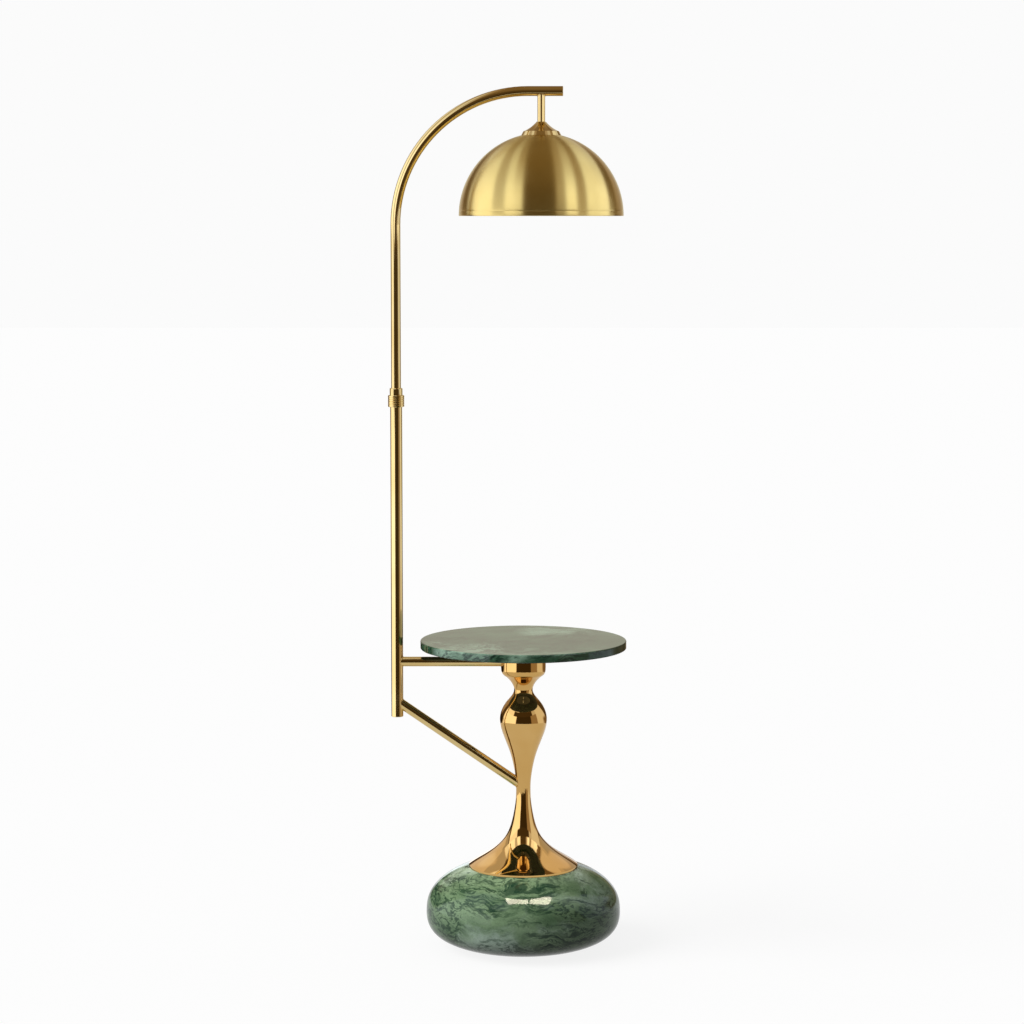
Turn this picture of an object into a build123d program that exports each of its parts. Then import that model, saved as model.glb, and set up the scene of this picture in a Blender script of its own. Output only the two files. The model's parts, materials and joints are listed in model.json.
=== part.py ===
from build123d import *
import os
from math import acos, asin, cos, degrees, sin, sqrt

# Shelf floor lamp, in millimetres. The origin is on the floor at the column's axis, +Z is up,
# and the pole, the arm, the brace and the shade all stand in the plane Y = 0, the pole on the -X side.

# Clearances
run_gap = 0.05          # radial gap of a sliding or turning fit
seat_gap = 0.02         # radial gap of a piece that is fixed in its hole
free_gap = 0.3          # gap between pieces that pass each other freely
stop_gap = 0.1          # gap left at the mast's upper stop

# Marble base
base_diameter = 360.0
base_girth_height = 71.0        # height of the widest ring
base_crown_height = 79.0        # from the widest ring up to the column's seat
base_crown_fullness = 2.16      # exponent of the rounded upper side, 2 is an ellipse
base_under_fullness = 2.95      # exponent of the fuller lower side
base_seat_margin = 1.5          # flat land left outside the trumpet's rim
foot_diameter = 168.0           # flat that stands on the pad
pad_thickness = 2.0
pad_margin = 2.0
recess_diameter = 96.0
recess_depth = 62.0
base_bore_diameter = 44.0
base_plate_diameter = 80.0
base_plate_thickness = 4.0
nut_flats = 13.0
nut_height = 6.5
rod_diameter = 8.0
rod_tail = 4.0                  # rod left standing out of the nut

# Cord gland at the back of the base
gland_height = 38.0             # above the foot's flat
gland_hole_diameter = 12.0
gland_flange_diameter = 18.0
gland_flange_thickness = 3.0
gland_pocket_margin = 1.0       # stone left below the gland's seat
gland_body_length = 18.0

# Column: trumpet foot and baluster, turned shells of one wall
column_wall = 3.0
trumpet_rim_diameter = 201.5
trumpet_rim_height = 3.5
trumpet_height = 148.0          # from the base's seat to the waist
waist_diameter = 26.8
bulb_rise = 129.0               # from the waist to the widest ring of the bulb
bulb_diameter = 87.4
neck_rise = 53.0                # from the bulb's widest ring to the neck
neck_diameter = 34.6
cup_rise = 42.0                 # from the neck to the cup's lower edge
cup_diameter = 83.0
cup_band = 32.0                 # upright band of the cup
spigot_length = 12.0
spigot_wall = 0.7

# Where the turned curves pass between two rings, as shares of the step in radius and in height
trumpet_shares = ((0.429, 0.165), (0.757, 0.349), (0.885, 0.509), (0.966, 0.723))
trumpet_rim_slope = 0.75        # rise over run of the trumpet at its rim
taper_shares = ((0.073, 0.209), (0.360, 0.504), (0.733, 0.736))
shoulder_shares = ((0.508, 0.623),)
cup_shares = ((0.649, 0.619),)

# Table
table_diameter = 380.0
table_thickness = 15.0
table_edge_round = 2.0
table_plate_diameter = 150.0
table_plate_thickness = 5.0
table_boss_diameter = 24.0
table_boss_length = 15.0
table_screw_circle = 120.0
table_screw_count = 4
screw_diameter = 5.0
screw_head_diameter = 10.0
screw_length = 13.0
anchor_diameter = 8.0
anchor_length = 10.0

# Tubes of the frame
tube_wall = 1.2
pole_diameter = 22.0
pole_table_gap = 32.0           # from the table's edge to the pole
pole_length = 574.0
arm_diameter = 18.0
arm_rise = 11.5                 # arm's axis above the cup's lower edge
arm_above_foot = 102.5          # arm's axis above the pole's lower end
brace_diameter = 18.0
brace_above_foot = 29.0         # brace's axis above the pole's lower end, at the pole's axis
brace_above_waist = 2.0         # brace's axis above the waist, at the column's axis
pole_cap_thickness = 2.5
pole_cap_spigot = 10.0
cap_edge_round = 0.8

# Telescopic lock
collar_lap = 3.0                # collar's skirt below the pole's mouth
collar_diameter = 30.0
collar_height = 21.5
collar_neck_diameter = 23.6
collar_neck_height = 13.0
collar_chamfer = 1.0
collar_neck_round = 1.6
collet_thread_length = 15.0
collet_cone_length = 6.0
collet_tip_wall = 0.9
collet_slit_width = 1.2
collet_slit_depth = 14.0
collet_slit_count = 4
sleeve_length = 80.0
bush_flange_length = 14.0
bush_spigot_length = 25.0

# Mast
mast_diameter = 18.0
mast_rise = 328.5               # straight tube from the pole's mouth to the bend
bend_radius = 241.0
bend_to_stem = 24.0             # level tube from the end of the bend to the stem's axis
tube_tail = 39.5                # level tube past the stem's axis
mast_cap_thickness = 1.5
mast_cap_spigot = 8.0

# Lamp head
stem_diameter = 14.0
stem_bore_diameter = 10.0
stem_length = 55.0              # from the mast tube's axis to the top of the shade cap
nipple_bore_diameter = 6.4
nipple_grip = 12.0              # nipple's length inside the stem
shade_cap_top_diameter = 17.0
shade_cap_shoulder_diameter = 65.0
shade_cap_rim_diameter = 73.0
shade_cap_cone_height = 17.2
shade_cap_band_height = 7.3
shade_cap_hollow = 1.8          # how far the cone's side curves in
shade_cap_wall = 1.6
shade_diameter = 300.0
shade_thickness = 1.0
shade_land_diameter = 40.0      # flat crown where the shade is clamped
shade_hem_thickness = 1.8
shade_hem_height = 3.0
washer_diameter = 28.0
washer_thickness = 1.5
head_nut_flats = 14.0
head_nut_height = 4.0
holder_neck_diameter = 20.0
holder_neck_height = 6.0
holder_shoulder_height = 10.0
holder_diameter = 40.0
holder_height = 38.0
holder_bore_depth = 30.0
holder_edge_round = 1.5
terminal_room_diameter = 12.0
shell_wall = 0.8
shell_length = 24.0
shell_inset = 2.0
contact_diameter = 18.0
contact_thickness = 2.0

# Bulb
bulb_cap_diameter = 26.4
bulb_cap_length = 22.0
bulb_cap_cone = 3.0
bulb_tip_diameter = 10.0
bulb_tip_length = 3.0
glass_neck_diameter = 26.0
glass_diameter = 60.0
glass_neck_length = 48.0        # from the cap to the widest ring
glass_wall = 0.9

# Inner lead
lead_diameter = 4.0
lead_clearance = 0.5
arm_lead_bend = 12.0
cup_lead_bend = 25.0
trumpet_lead_bend = 60.0
base_lead_bend = 18.0
stem_lead_bend = 12.0
rod_lead_gap = 1.2              # between the rod and the lead in the column
nut_lead_gap = 4.0              # between the nut's corners and the lead's hole in the base plate
lead_turn_below_waist = 36.0    # where the lead leaves the rod's side
lead_turn_above_seat = 40.0     # where it comes in line with the base plate's hole
slack_foot = 65.0               # lower end of the slack lead above the arm's axis

# Places worked out from the sizes: base
base_radius = base_diameter / 2
foot_radius = foot_diameter / 2
rod_radius = rod_diameter / 2
lead_radius = lead_diameter / 2
lead_hole_radius = lead_radius + lead_clearance
seat_z = base_girth_height + base_crown_height
rim_radius = trumpet_rim_diameter / 2
seat_radius = rim_radius + base_seat_margin
recess_z = pad_thickness + recess_depth
plate_z = recess_z - base_plate_thickness
nut_z = plate_z - nut_height
gland_z = pad_thickness + gland_height

# Column and table
rim_z = seat_z + trumpet_rim_height
waist_radius = waist_diameter / 2
waist_z = seat_z + trumpet_height
bulb_z = waist_z + bulb_rise
neck_z = bulb_z + neck_rise
cup_radius = cup_diameter / 2
cup_z = neck_z + cup_rise
cup_top_z = cup_z + cup_band
table_z = cup_top_z + table_plate_thickness
rod_top_z = table_z - table_plate_thickness / 2

# Frame tubes
pole_radius = pole_diameter / 2
pole_bore = pole_radius - tube_wall
pole_x = -(table_diameter / 2 + pole_table_gap + pole_radius)
arm_radius = arm_diameter / 2
arm_z = cup_z + arm_rise
pole_foot_z = arm_z - arm_above_foot
pole_tube_z = pole_foot_z + pole_cap_thickness
pole_top_z = pole_tube_z + pole_length
brace_radius = brace_diameter / 2
brace_top = Vector(pole_x, 0, pole_foot_z + brace_above_foot)
brace_foot = Vector(0, 0, waist_z + brace_above_waist)

# Lock and mast
mast_radius = mast_diameter / 2
mast_bore = mast_radius - tube_wall
sleeve_bore = mast_radius + run_gap
sleeve_foot_z = pole_top_z - sleeve_length
collet_cone_z = pole_top_z + collet_thread_length
collet_top_z = collet_cone_z + collet_cone_length
collar_z = pole_top_z - collar_lap
collar_step_z = collar_z + collar_height
collar_top_z = collar_step_z + collar_neck_height
mast_foot_z = sleeve_foot_z - stop_gap
bush_foot_z = mast_foot_z - bush_flange_length
level_z = pole_top_z + mast_rise + bend_radius
stem_x = pole_x + bend_radius + bend_to_stem
mast_tube_end_x = stem_x + tube_tail - mast_cap_thickness

# Lamp head
stem_radius = stem_diameter / 2
stem_bore = stem_bore_diameter / 2
stem_foot_z = level_z - stem_length
shade_radius = shade_diameter / 2
shade_cap_rim = shade_cap_rim_diameter / 2
shade_cap_band_z = stem_foot_z - shade_cap_cone_height
shade_cap_rim_z = shade_cap_band_z - shade_cap_band_height
shade_rim_z = shade_cap_rim_z - sqrt(shade_radius ** 2 - shade_cap_rim ** 2)
shade_land = shade_land_diameter / 2
shade_land_height = sqrt(shade_radius ** 2 - shade_land ** 2)
washer_z = shade_rim_z + shade_land_height - shade_thickness - washer_thickness
holder_top_z = washer_z - head_nut_height
holder_shoulder_z = holder_top_z - holder_neck_height
holder_body_z = holder_shoulder_z - holder_shoulder_height
holder_mouth_z = holder_body_z - holder_height
holder_bore_z = holder_mouth_z + holder_bore_depth
nipple_radius = stem_bore - seat_gap
nipple_hole = nipple_radius + free_gap
bulb_cap_radius = bulb_cap_diameter / 2
shell_bore = bulb_cap_radius + free_gap
shell_radius = shell_bore + shell_wall
contact_z = holder_bore_z - contact_thickness
bulb_tip_z = contact_z - stop_gap
bulb_shoulder_z = bulb_tip_z - bulb_tip_length
bulb_cap_z = bulb_shoulder_z - bulb_cap_length
glass_z = bulb_cap_z - glass_neck_length

# Lead
slack_foot_z = arm_z + slack_foot
column_lead_x = -(rod_radius + rod_lead_gap + lead_radius)
lead_hole_offset = nut_flats / sqrt(3) + nut_lead_gap + lead_hole_radius

# Upright planes through the pole's and the shade's axis, with the radius along X and the height along Z
pole_plane = Plane(origin=(pole_x, 0, 0), x_dir=(1, 0, 0), z_dir=(0, -1, 0))
pole_axis = Axis((pole_x, 0, 0), (0, 0, 1))
head_plane = Plane(origin=(stem_x, 0, 0), x_dir=(1, 0, 0), z_dir=(0, -1, 0))
shade_plane = Plane(origin=(stem_x, 0, shade_rim_z), x_dir=(1, 0, 0), z_dir=(0, -1, 0))
head_axis = Axis((stem_x, 0, 0), (0, 0, 1))


def rounded_half(edge_radius, edge_height, fullness):
    """Half height of the superellipse of the base's girth that passes through an edge."""
    return edge_height / (1 - (edge_radius / base_radius) ** fullness) ** (1 / fullness)


def rounded_rings(edge_radius, half_height, fullness, steps):
    """Rings of that superellipse from the girth to the edge, as (radius, height from the girth)."""
    last = acos((edge_radius / base_radius) ** (fullness / 2))
    angles = [last * step / steps for step in range(steps + 1)]
    return [
        (base_radius * cos(a) ** (2 / fullness), half_height * sin(a) ** (2 / fullness)) for a in angles
    ]


def rings_between(start, end, shares):
    """Rings of a turned curve between two of its rings, each a (radius, height) pair."""
    return [
        (start[0] + (end[0] - start[0]) * in_radius, start[1] + (end[1] - start[1]) * in_height)
        for in_radius, in_height in shares
    ]


def thinned(rings):
    """The same rings one column wall further in."""
    return [(radius - column_wall, height) for radius, height in rings]


# Rings of the stone, from its foot to its seat
curve_steps = 5
under_half = rounded_half(foot_radius, base_girth_height - pad_thickness, base_under_fullness)
crown_half = rounded_half(seat_radius, base_crown_height, base_crown_fullness)
under_rings = rounded_rings(foot_radius, under_half, base_under_fullness, curve_steps)
crown_rings = rounded_rings(seat_radius, crown_half, base_crown_fullness, curve_steps)
stone_rings = [(radius, base_girth_height - drop) for radius, drop in reversed(under_rings)]
stone_rings += [(radius, base_girth_height + rise) for radius, rise in crown_rings[1:]]

# The gland's seat, cut far enough into the stone's lower side to be whole
gland_low_drop = (base_girth_height - gland_z + gland_flange_diameter / 2) / under_half
gland_low_radius = base_radius * (1 - gland_low_drop ** base_under_fullness) ** (1 / base_under_fullness)
gland_seat_y = gland_low_radius - gland_pocket_margin

# Outer rings of the two turned pieces, from the bottom up
rim_ring = (rim_radius, rim_z)
waist_ring = (waist_radius, waist_z)
bulb_ring = (bulb_diameter / 2, bulb_z)
neck_ring = (neck_diameter / 2, neck_z)
cup_ring = (cup_radius, cup_z)
trumpet_rings = [rim_ring, *rings_between(rim_ring, waist_ring, trumpet_shares), waist_ring]
baluster_rings = [
    waist_ring,
    *rings_between(waist_ring, bulb_ring, taper_shares),
    bulb_ring,
    *rings_between(bulb_ring, neck_ring, shoulder_shares),
    neck_ring,
    *rings_between(neck_ring, cup_ring, cup_shares),
    cup_ring,
]

os.makedirs("parts", exist_ok=True)

# Foot pad
with BuildPart() as foot_pad:
    with BuildSketch():
        Circle(foot_radius - pad_margin)
    extrude(amount=pad_thickness)
foot_pad.part.label = "foot_pad"
export_step(foot_pad.part, "parts/foot_pad.step")

# Marble base: a rounded stone with a seat for the trumpet, a bore, a recess below and a way out for the cord
with BuildPart() as marble_base:
    with BuildSketch(Plane.XZ):
        with BuildLine():
            side = Spline(*stone_rings)
            Polyline(side @ 1, (0, seat_z), (0, pad_thickness), side @ 0)
        make_face()
    revolve(axis=Axis.Z)
    with BuildSketch(Plane.XY.offset(pad_thickness)):
        Circle(recess_diameter / 2)
    extrude(amount=recess_depth, mode=Mode.SUBTRACT)
    with BuildSketch(Plane.XY.offset(recess_z)):
        Circle(base_bore_diameter / 2)
    extrude(amount=seat_z - recess_z, mode=Mode.SUBTRACT)
    with BuildSketch(Plane.XZ.offset(-base_radius)):
        with Locations((0, gland_z)):
            Circle(gland_hole_diameter / 2)
    extrude(amount=base_radius, mode=Mode.SUBTRACT)
    with BuildSketch(Plane.XZ.offset(-base_radius)):
        with Locations((0, gland_z)):
            Circle(gland_flange_diameter / 2 + free_gap)
    extrude(amount=base_radius - gland_seat_y, mode=Mode.SUBTRACT)
marble_base.part.label = "marble_base"
export_step(marble_base.part, "parts/marble_base.step")

# Cord gland, pressed into the hole at the back of the base
with BuildPart() as cord_gland:
    with BuildSketch(Plane.XZ.offset(-gland_seat_y)):
        with Locations((0, gland_z)):
            Circle(gland_flange_diameter / 2)
    extrude(amount=-gland_flange_thickness)
    fillet(cord_gland.edges().filter_by(GeomType.CIRCLE).sort_by(Axis.Y)[-1], cap_edge_round)
    with BuildSketch(Plane.XZ.offset(-gland_seat_y)):
        with Locations((0, gland_z)):
            Circle(gland_hole_diameter / 2 - seat_gap)
    extrude(amount=gland_body_length)
    with BuildSketch(Plane.XZ.offset(-gland_seat_y - gland_flange_thickness)):
        with Locations((0, gland_z)):
            Circle(lead_hole_radius)
    extrude(amount=gland_flange_thickness + gland_body_length, mode=Mode.SUBTRACT)
cord_gland.part.label = "cord_gland"
export_step(cord_gland.part, "parts/cord_gland.step")

# Base plate, nut and tie rod clamp the base, the column and the table plate together
with BuildPart() as base_plate:
    with BuildSketch(Plane.XY.offset(plate_z)):
        Circle(base_plate_diameter / 2)
        Circle(rod_radius + free_gap, mode=Mode.SUBTRACT)
        with Locations((0, lead_hole_offset)):
            Circle(lead_hole_radius, mode=Mode.SUBTRACT)
    extrude(amount=base_plate_thickness)
base_plate.part.label = "base_plate"
export_step(base_plate.part, "parts/base_plate.step")

with BuildPart() as base_nut:
    with BuildSketch(Plane.XY.offset(nut_z)):
        RegularPolygon(nut_flats / 2, 6, major_radius=False)
        Circle(rod_radius + seat_gap, mode=Mode.SUBTRACT)
    extrude(amount=nut_height)
base_nut.part.label = "base_nut"
export_step(base_nut.part, "parts/base_nut.step")

with BuildPart() as tie_rod:
    with BuildSketch(Plane.XY.offset(nut_z - rod_tail)):
        Circle(rod_radius)
    extrude(amount=rod_top_z - nut_z + rod_tail)
tie_rod.part.label = "tie_rod"
export_step(tie_rod.part, "parts/tie_rod.step")

# Trumpet foot: a turned shell from the rim on the stone up to the waist
trumpet_tangents = ((-1, trumpet_rim_slope), (0, 1))
with BuildPart() as trumpet_foot:
    with BuildSketch(Plane.XZ):
        with BuildLine():
            outside = Spline(*trumpet_rings, tangents=trumpet_tangents)
            inside = Spline(*thinned(trumpet_rings), tangents=trumpet_tangents)
            Line(outside @ 1, inside @ 1)
            Polyline(outside @ 0, (rim_radius, seat_z), (rim_radius - column_wall, seat_z), inside @ 0)
        make_face()
    revolve(axis=Axis.Z)
trumpet_foot.part.label = "trumpet_foot"
export_step(trumpet_foot.part, "parts/trumpet_foot.step")

# Outer form of the baluster, which also copes the brace
upright_tangents = ((0, 1), (0, 1))
with BuildPart() as baluster_form:
    with BuildSketch(Plane.XZ):
        with BuildLine():
            outside = Spline(*baluster_rings, tangents=upright_tangents)
            Polyline(outside @ 1, (cup_radius, cup_top_z), (0, cup_top_z), (0, waist_z), outside @ 0)
        make_face()
    revolve(axis=Axis.Z)

# Baluster: waist, bulb, neck and cup, hollow, with a spigot that centres it in the trumpet
spigot_radius = waist_radius - column_wall - seat_gap
with BuildPart() as baluster:
    add(baluster_form.part)
    with BuildSketch(Plane.XZ):
        with BuildLine():
            inside = Spline(*thinned(baluster_rings), tangents=upright_tangents)
            Polyline(
                inside @ 1, (cup_radius - column_wall, cup_top_z), (0, cup_top_z), (0, waist_z), inside @ 0
            )
        make_face()
    revolve(axis=Axis.Z, mode=Mode.SUBTRACT)
    with BuildSketch(Plane.XZ):
        with BuildLine():
            Polyline(
                (spigot_radius, waist_z - spigot_length),
                (spigot_radius, waist_z),
                (waist_radius - column_wall / 2, waist_z),
                (waist_radius - column_wall / 2, waist_z + spigot_length),
                (spigot_radius - spigot_wall, waist_z + spigot_length),
                (spigot_radius - spigot_wall, waist_z - spigot_length),
                close=True,
            )
        make_face()
    revolve(axis=Axis.Z)
    with BuildSketch(Plane.YZ.offset(-cup_radius)):
        with Locations((0, arm_z)):
            Circle(lead_hole_radius)
    extrude(amount=2 * column_wall, mode=Mode.SUBTRACT)
baluster.part.label = "baluster"
export_step(baluster.part, "parts/baluster.step")

# Table plate with a threaded boss for the tie rod
with BuildPart() as table_plate:
    with BuildSketch(Plane.XY.offset(cup_top_z)):
        Circle(table_plate_diameter / 2)
    extrude(amount=table_plate_thickness)
    with BuildSketch(Plane.XY.offset(cup_top_z)):
        Circle(table_boss_diameter / 2)
    extrude(amount=-table_boss_length)
    with BuildSketch(Plane.XY.offset(cup_top_z - table_boss_length)):
        Circle(rod_radius + seat_gap)
    extrude(amount=table_boss_length + rod_top_z - cup_top_z, mode=Mode.SUBTRACT)
    with Locations(Location((0, 0, cup_top_z), (180, 0, 0))):
        with PolarLocations(table_screw_circle / 2, table_screw_count):
            CounterSinkHole(
                screw_diameter / 2 + free_gap,
                screw_head_diameter / 2 + free_gap,
                depth=table_plate_thickness,
                counter_sink_angle=90,
            )
table_plate.part.label = "table_plate"
export_step(table_plate.part, "parts/table_plate.step")

# Countersunk screws from below and the anchors that they bite in
with BuildPart() as table_screw:
    with BuildSketch(Plane.XZ):
        with BuildLine():
            Polyline(
                (0, cup_top_z),
                (screw_head_diameter / 2, cup_top_z),
                (screw_diameter / 2, cup_top_z + (screw_head_diameter - screw_diameter) / 2),
                (screw_diameter / 2, cup_top_z + screw_length),
                (0, cup_top_z + screw_length),
                close=True,
            )
        make_face()
    revolve(axis=Axis.Z)

with BuildPart() as table_screws:
    with PolarLocations(table_screw_circle / 2, table_screw_count):
        add(table_screw.part)
table_screws.part.label = "table_screws"
export_step(table_screws.part, "parts/table_screws.step")

with BuildPart() as table_anchors:
    with BuildSketch(Plane.XY.offset(table_z)):
        with PolarLocations(table_screw_circle / 2, table_screw_count):
            Circle(anchor_diameter / 2)
            Circle(screw_diameter / 2 + seat_gap, mode=Mode.SUBTRACT)
    extrude(amount=anchor_length)
table_anchors.part.label = "table_anchors"
export_step(table_anchors.part, "parts/table_anchors.step")

# Marble table top
with BuildPart() as marble_top:
    with BuildSketch(Plane.XY.offset(table_z)):
        Circle(table_diameter / 2)
    extrude(amount=table_thickness)
    fillet(marble_top.edges(), table_edge_round)
    with BuildSketch(Plane.XY.offset(table_z)):
        with PolarLocations(table_screw_circle / 2, table_screw_count):
            Circle(anchor_diameter / 2 + seat_gap)
    extrude(amount=anchor_length, mode=Mode.SUBTRACT)
marble_top.part.label = "marble_top"
export_step(marble_top.part, "parts/marble_top.step")

# Side arm, coped to the pole and to the cup
with BuildPart() as side_arm:
    with BuildSketch(Plane.YZ.offset(pole_x)):
        with Locations((0, arm_z)):
            Circle(arm_radius)
            Circle(arm_radius - tube_wall, mode=Mode.SUBTRACT)
    extrude(amount=-pole_x)
    with Locations((pole_x, 0, arm_z)):
        Cylinder(pole_radius, 2 * arm_diameter, mode=Mode.SUBTRACT)
    with Locations((0, 0, arm_z)):
        Cylinder(cup_radius, 2 * arm_diameter, mode=Mode.SUBTRACT)
side_arm.part.label = "side_arm"
export_step(side_arm.part, "parts/side_arm.step")

# Brace, coped to the pole and to the baluster above its waist
with BuildPart() as brace:
    with BuildSketch(Plane(origin=brace_top, z_dir=brace_foot - brace_top)):
        Circle(brace_radius)
        Circle(brace_radius - tube_wall, mode=Mode.SUBTRACT)
    extrude(amount=(brace_foot - brace_top).length)
    with Locations(brace_top):
        Cylinder(pole_radius, 4 * brace_diameter, mode=Mode.SUBTRACT)
    with Locations(brace_foot):
        Cylinder(waist_radius, 4 * brace_diameter, mode=Mode.SUBTRACT)
    add(baluster_form.part, mode=Mode.SUBTRACT)
brace.part.label = "brace"
export_step(brace.part, "parts/brace.step")

# Outer pole with the hole that lets the lead into the arm
with BuildPart() as outer_pole:
    with BuildSketch(Plane(origin=(pole_x, 0, pole_tube_z))):
        Circle(pole_radius)
        Circle(pole_bore, mode=Mode.SUBTRACT)
    extrude(amount=pole_length)
    with BuildSketch(Plane.YZ.offset(pole_x)):
        with Locations((0, arm_z)):
            Circle(lead_hole_radius)
    extrude(amount=pole_diameter, mode=Mode.SUBTRACT)
outer_pole.part.label = "outer_pole"
export_step(outer_pole.part, "parts/outer_pole.step")

# Plug that closes the pole's lower end
with BuildPart() as pole_end_cap:
    with BuildSketch(Plane(origin=(pole_x, 0, pole_foot_z))):
        Circle(pole_radius)
    extrude(amount=pole_cap_thickness)
    fillet(pole_end_cap.edges().group_by(Axis.Z)[0], cap_edge_round)
    with BuildSketch(Plane(origin=(pole_x, 0, pole_tube_z))):
        Circle(pole_bore - seat_gap)
    extrude(amount=pole_cap_spigot)
pole_end_cap.part.label = "pole_end_cap"
export_step(pole_end_cap.part, "parts/pole_end_cap.step")

# Guide sleeve in the pole's mouth, whose split collet grips the mast under the collar
with BuildPart() as guide_sleeve:
    with BuildSketch(pole_plane):
        with BuildLine():
            Polyline(
                (sleeve_bore, sleeve_foot_z),
                (pole_bore - seat_gap, sleeve_foot_z),
                (pole_bore - seat_gap, pole_top_z),
                (pole_radius, pole_top_z),
                (pole_radius, collet_cone_z),
                (sleeve_bore + collet_tip_wall, collet_top_z),
                (sleeve_bore, collet_top_z),
                close=True,
            )
        make_face()
    revolve(axis=pole_axis)
    with BuildSketch(Plane(origin=(pole_x, 0, collet_top_z))):
        with PolarLocations(pole_radius, collet_slit_count):
            Rectangle(pole_radius, collet_slit_width)
    extrude(amount=-collet_slit_depth, mode=Mode.SUBTRACT)
guide_sleeve.part.label = "guide_sleeve"
export_step(guide_sleeve.part, "parts/guide_sleeve.step")

# Lock collar: a turned nut whose inner cone closes the collet
collar_bore = pole_radius + run_gap
collar_mouth = mast_radius + free_gap
cone_slope = (pole_radius - sleeve_bore - collet_tip_wall) / collet_cone_length
collar_cone_top_z = collet_cone_z + (collar_bore - collar_mouth) / cone_slope
with BuildPart() as lock_collar:
    with BuildSketch(pole_plane):
        with BuildLine():
            Polyline(
                (collar_bore, collar_z),
                (collar_diameter / 2, collar_z),
                (collar_diameter / 2, collar_step_z),
                (collar_neck_diameter / 2, collar_step_z),
                (collar_neck_diameter / 2, collar_top_z),
                (collar_mouth, collar_top_z),
                (collar_mouth, collar_cone_top_z),
                (collar_bore, collet_cone_z),
                close=True,
            )
        make_face()
    revolve(axis=pole_axis)
    rims = lock_collar.edges().filter_by(GeomType.CIRCLE)
    chamfer(rims.filter_by(lambda edge: edge.radius > collar_diameter / 2 - run_gap), collar_chamfer)
    neck_rims = lock_collar.edges().filter_by(GeomType.CIRCLE).group_by(Axis.Z)[-1]
    fillet(neck_rims.sort_by(SortBy.RADIUS)[-1], collar_neck_round)
lock_collar.part.label = "lock_collar"
export_step(lock_collar.part, "parts/lock_collar.step")

# Guide bush: slides in the pole, and its spigot is the mast's journal
with BuildPart() as guide_bush:
    with BuildSketch(pole_plane):
        with BuildLine():
            Polyline(
                (lead_hole_radius, bush_foot_z),
                (pole_bore - run_gap, bush_foot_z),
                (pole_bore - run_gap, mast_foot_z),
                (mast_bore - run_gap, mast_foot_z),
                (mast_bore - run_gap, mast_foot_z + bush_spigot_length),
                (lead_hole_radius, mast_foot_z + bush_spigot_length),
                close=True,
            )
        make_face()
    revolve(axis=pole_axis)
guide_bush.part.label = "guide_bush"
export_step(guide_bush.part, "parts/guide_bush.step")

# Mast tube: upright, quarter bend and level end, with a hole over the stem
with BuildPart() as mast_tube:
    with BuildLine():
        FilletPolyline(
            (pole_x, 0, mast_foot_z), (pole_x, 0, level_z), (mast_tube_end_x, 0, level_z), radius=[bend_radius]
        )
    with BuildSketch(Plane(origin=(pole_x, 0, mast_foot_z))):
        Circle(mast_radius)
        Circle(mast_bore, mode=Mode.SUBTRACT)
    sweep()
    with BuildSketch(Plane(origin=(stem_x, 0, level_z))):
        Circle(stem_bore)
    extrude(amount=-mast_diameter, mode=Mode.SUBTRACT)
mast_tube.part.label = "mast_tube"
export_step(mast_tube.part, "parts/mast_tube.step")

# Plug that closes the mast tube's level end
with BuildPart() as mast_end_cap:
    with BuildSketch(Plane.YZ.offset(mast_tube_end_x)):
        with Locations((0, level_z)):
            Circle(mast_radius)
    extrude(amount=mast_cap_thickness)
    fillet(mast_end_cap.edges().group_by(Axis.X)[-1], cap_edge_round)
    with BuildSketch(Plane.YZ.offset(mast_tube_end_x)):
        with Locations((0, level_z)):
            Circle(mast_bore - seat_gap)
    extrude(amount=-mast_cap_spigot)
mast_end_cap.part.label = "mast_end_cap"
export_step(mast_end_cap.part, "parts/mast_end_cap.step")

# Stem, coped to the mast tube
with BuildPart() as stem:
    with BuildSketch(Plane(origin=(stem_x, 0, stem_foot_z))):
        Circle(stem_radius)
        Circle(stem_bore, mode=Mode.SUBTRACT)
    extrude(amount=stem_length)
    with Locations(Location((stem_x, 0, level_z), (0, 90, 0))):
        Cylinder(mast_radius, 2 * stem_diameter, mode=Mode.SUBTRACT)
stem.part.label = "stem"
export_step(stem.part, "parts/stem.step")

# Nipple, which runs from the stem through cap, shade, washer and nut into the lamp holder
with BuildPart() as nipple:
    with BuildSketch(Plane(origin=(stem_x, 0, holder_shoulder_z))):
        Circle(nipple_radius)
        Circle(nipple_bore_diameter / 2, mode=Mode.SUBTRACT)
    extrude(amount=stem_foot_z + nipple_grip - holder_shoulder_z)
nipple.part.label = "nipple"
export_step(nipple.part, "parts/nipple.step")

# Shade cap: a hollow cone with a slanted band that sits on the shade
shade_cap_top = shade_cap_top_diameter / 2
shade_cap_shoulder = shade_cap_shoulder_diameter / 2
with BuildPart() as shade_cap:
    with BuildSketch(head_plane):
        with BuildLine():
            cone = SagittaArc(
                (shade_cap_top, stem_foot_z), (shade_cap_shoulder, shade_cap_band_z), -shade_cap_hollow
            )
            Polyline(
                cone @ 1,
                (shade_cap_rim, shade_cap_rim_z),
                (nipple_hole, shade_cap_rim_z),
                (nipple_hole, stem_foot_z),
                cone @ 0,
            )
        make_face()
    revolve(axis=head_axis)
    with BuildSketch(head_plane):
        with BuildLine():
            cone = SagittaArc(
                (shade_cap_top, stem_foot_z - shade_cap_wall),
                (shade_cap_shoulder - shade_cap_wall, shade_cap_band_z - shade_cap_wall),
                -shade_cap_hollow,
            )
            Polyline(
                cone @ 1,
                (shade_cap_rim - shade_cap_wall, shade_cap_rim_z),
                (0, shade_cap_rim_z),
                (0, stem_foot_z - shade_cap_wall),
                cone @ 0,
            )
        make_face()
    revolve(axis=head_axis, mode=Mode.SUBTRACT)
    with Locations((stem_x, 0, shade_rim_z)):
        Sphere(shade_radius + seat_gap, mode=Mode.SUBTRACT)
shade_cap.part.label = "shade_cap"
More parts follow.
